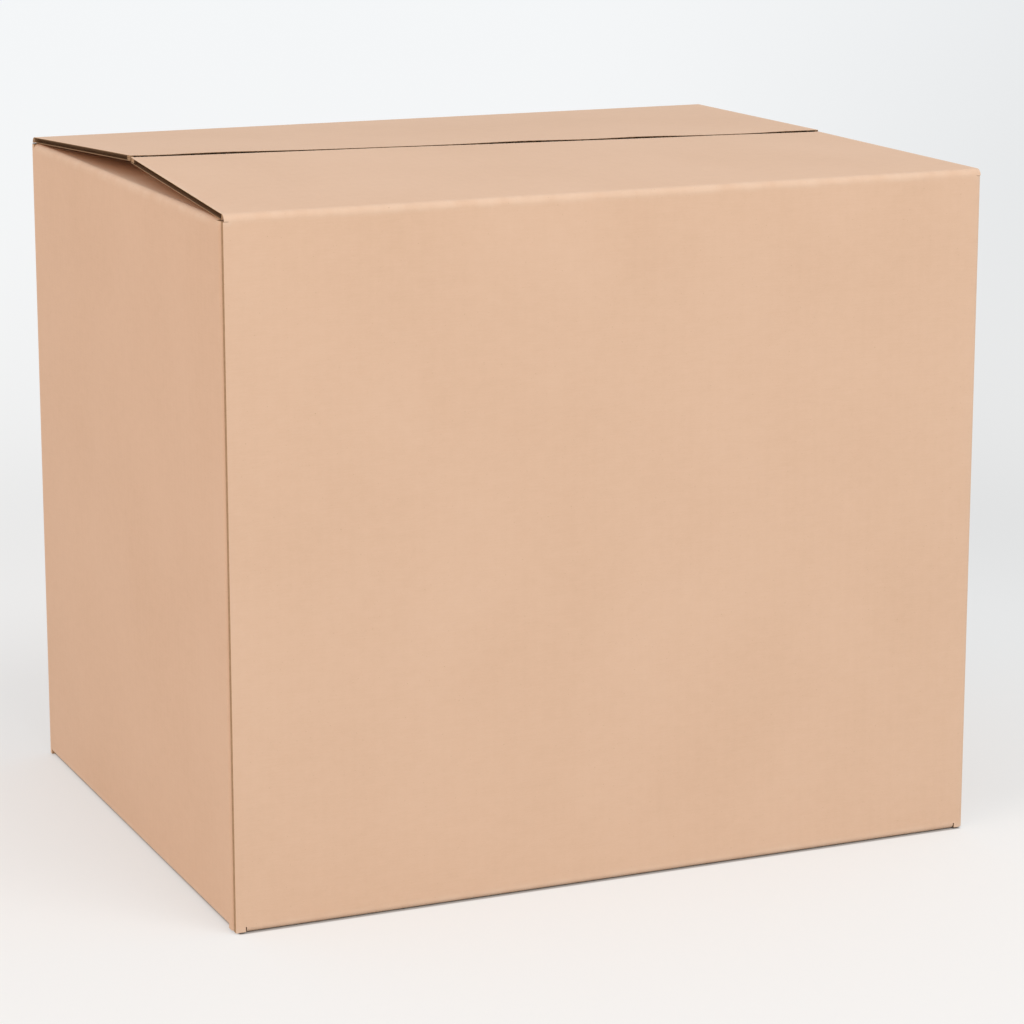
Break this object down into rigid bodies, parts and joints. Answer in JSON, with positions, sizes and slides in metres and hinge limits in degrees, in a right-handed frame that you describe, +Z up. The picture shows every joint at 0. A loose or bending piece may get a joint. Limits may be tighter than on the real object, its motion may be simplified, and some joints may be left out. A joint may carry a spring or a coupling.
{
  "type": "closed corrugated cardboard shipping box",
  "caption": "Closed plain kraft corrugated shipping box with a glued side joint, a glued bottom and two loose outer top flaps that meet at a centre seam.",
  "frame": {"origin": "middle of the footprint, on the floor", "axes": "+Z up, +X along the centre seam towards the right end wall, +Y from the front wall towards the rear wall"},
  "size_m": [0.58, 0.46, 0.5121],
  "materials": {
    "kraft_board": "matte",
    "dried_glue": "satin"
  },
  "bodies": {
    "carton": {"carton": "kraft_board", "joint_glue": "dried_glue", "bottom_glue": "dried_glue"},
    "front_flap": {"front_flap": "kraft_board"},
    "rear_flap": {"rear_flap": "kraft_board"}
  },
  "joints": [
    {"name": "front_flap_crease", "type": "hinge", "parent": "carton", "child": "front_flap", "pos_m": [0, -0.23, 0.5], "axis": [1, 0, 0], "range_deg": [0, 255]},
    {"name": "rear_flap_crease", "type": "hinge", "parent": "carton", "child": "rear_flap", "pos_m": [0, 0.23, 0.5], "axis": [-1, 0, 0], "range_deg": [0, 255]}
  ]
}
